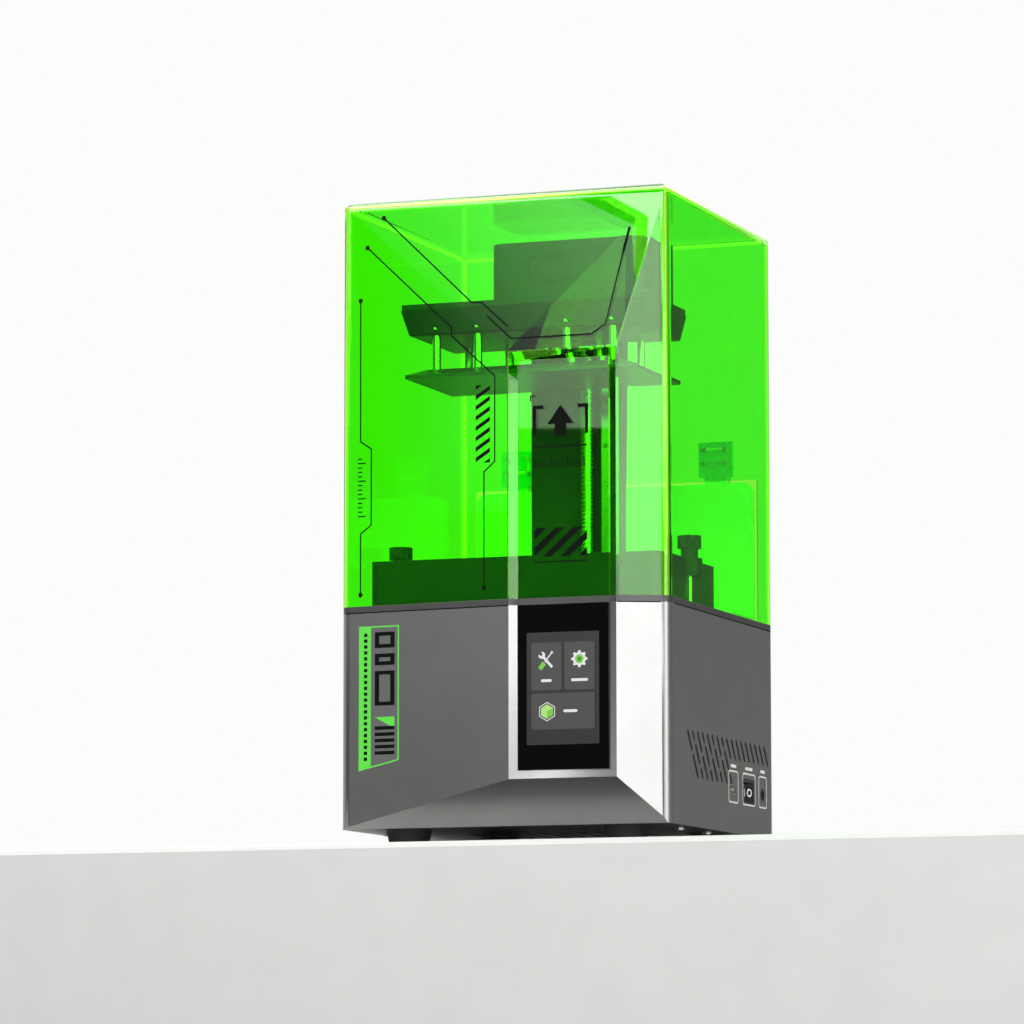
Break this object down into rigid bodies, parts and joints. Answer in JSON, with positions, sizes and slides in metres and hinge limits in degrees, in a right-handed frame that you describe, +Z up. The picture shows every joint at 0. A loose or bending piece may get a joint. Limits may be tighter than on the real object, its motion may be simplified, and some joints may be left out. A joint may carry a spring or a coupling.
{
  "type": "resin printer",
  "caption": "Desktop resin printer: faceted grey base with touch screen, flip-up tinted cover, resin vat, build platform on a screw-driven tower.",
  "frame": {"origin": "centre of the footprint box, on the surface the feet stand on", "axes": "+Z up, -Y towards the touch screen, +X towards the side with the switch and sockets"},
  "size_m": [0.242, 0.268, 0.451],
  "materials": {
    "base_metal": "satin silver-grey powder coat",
    "trim_grey": "satin dark grey",
    "lid_acrylic": "clear green tinted acrylic",
    "black_glass": "black glossy cover glass",
    "rubber": "matt black rubber",
    "black_metal": "satin black anodised",
    "dark_grey_metal": "satin dark grey coat",
    "bright_steel": "bright ground steel",
    "zinc_steel": "zinc plated steel",
    "aluminium": "plain aluminium",
    "brass": "turned brass",
    "black_plastic": "matt black moulded plastic",
    "gloss_black_plastic": "gloss black moulded plastic",
    "white_plastic": "white reflector plastic",
    "clear_plastic": "clear moulded plastic",
    "film": "thin clear release film",
    "mask_glass": "dark glass of the mask panel",
    "white_metal": "white powder coat",
    "circuit_board": "green solder mask"
  },
  "bodies": {
    "base": {"base_housing": "base_metal", "bottom_plate": "dark_grey_metal", "rubber_feet": "rubber", "housing_screws": "zinc_steel", "deck_plate": "dark_grey_metal", "top_trim": "trim_grey", "lcd_bezel": "black_plastic", "lcd_panel": "mask_glass", "light_box": "white_plastic", "lens_array": "clear_plastic", "led_board": "circuit_board", "led_heatsink": "aluminium", "mainboard": "circuit_board", "board_standoffs": "brass", "touch_glass": "black_glass", "display_module": "black_plastic", "display_bracket": "zinc_steel", "usb_port": "zinc_steel", "dc_jack": "black_plastic", "switch_body": "black_plastic", "fan_frame": "black_plastic", "z_motor": "black_metal", "motor_standoffs": "brass", "tower_foot": "dark_grey_metal", "z_column": "black_metal", "column_cover": "black_metal", "linear_rail": "bright_steel", "rail_screws": "zinc_steel", "top_bearing": "aluminium", "limit_sensor": "circuit_board", "head_cover": "black_plastic", "vat_studs": "bright_steel", "rear_upright": "white_metal", "hinge_brackets": "white_metal", "hinge_pins": "bright_steel"},
    "lid": {"lid_shell": "lid_acrylic", "lid_hinge_arms": "white_metal", "lid_screws": "zinc_steel"},
    "z_arm": {"lead_nut": "brass", "rail_carriage": "bright_steel", "arm_bracket": "dark_grey_metal", "arm_screws": "zinc_steel", "limit_flag": "zinc_steel", "platform_block": "black_metal", "platform_cover": "black_metal"},
    "lever": {"release_lever": "dark_grey_metal"},
    "plate": {"build_plate": "dark_grey_metal", "float_posts": "bright_steel", "float_springs": "zinc_steel"},
    "screw": {"lead_screw": "bright_steel", "shaft_coupler": "aluminium"},
    "vat": {"vat_body": "black_metal", "vat_film": "film", "film_frame": "aluminium", "film_screws": "zinc_steel"},
    "knob_l": {"knob_left": "black_plastic"},
    "knob_r": {"knob_right": "black_plastic"},
    "rocker": {"power_rocker": "gloss_black_plastic"},
    "fan": {"fan_rotor": "black_plastic"}
  },
  "joints": [
    {"name": "lid_hinge", "type": "hinge", "parent": "base", "child": "lid", "pos_m": [0, 0.125, 0.262], "axis": [-1, 0, 0], "range_deg": [0, 90]},
    {"name": "z_slide", "type": "slide", "parent": "base", "child": "z_arm", "axis": [0, 0, 1], "range_m": [-0.158, 0]},
    {"name": "lead_screw_turn", "type": "hinge", "parent": "base", "child": "screw", "pos_m": [0.01, 0.028, 0.2], "axis": [0, 0, 1], "range_deg": [-18990, 10]},
    {"name": "plate_float", "type": "slide", "parent": "z_arm", "child": "plate", "axis": [0, 0, 1], "range_m": [0, 0.004], "stiffness_N_per_m": 8000, "springref_m": -0.003, "deforming": ["float_springs"]},
    {"name": "release_lever_swing", "type": "hinge", "parent": "z_arm", "child": "lever", "pos_m": [0, -0.008, 0.382], "axis": [0, 0, -1], "range_deg": [0, 90]},
    {"name": "vat_slide", "type": "slide", "parent": "base", "child": "vat", "axis": [0, -1, 0], "range_m": [0, 0.005]},
    {"name": "knob_left_turn", "type": "hinge", "parent": "base", "child": "knob_l", "pos_m": [-0.107, -0.0375, 0.2], "axis": [0, 0, 1], "range_deg": [0, 720]},
    {"name": "knob_right_turn", "type": "hinge", "parent": "base", "child": "knob_r", "pos_m": [0.107, -0.0375, 0.2], "axis": [0, 0, 1], "range_deg": [0, 720]},
    {"name": "power_rocker_tilt", "type": "hinge", "parent": "base", "child": "rocker", "pos_m": [0.111, 0.0565, 0.0415], "axis": [0, 0, 1], "range_deg": [0, 10]},
    {"name": "fan_spin", "type": "hinge", "parent": "base", "child": "fan", "pos_m": [-0.06, 0.105, 0.075], "axis": [0, 1, 0], "continuous": true}
  ],
  "couplings": [
    {"joint": "lead_screw_turn", "follows": "z_slide", "rad_per_m": 2094.4}
  ]
}
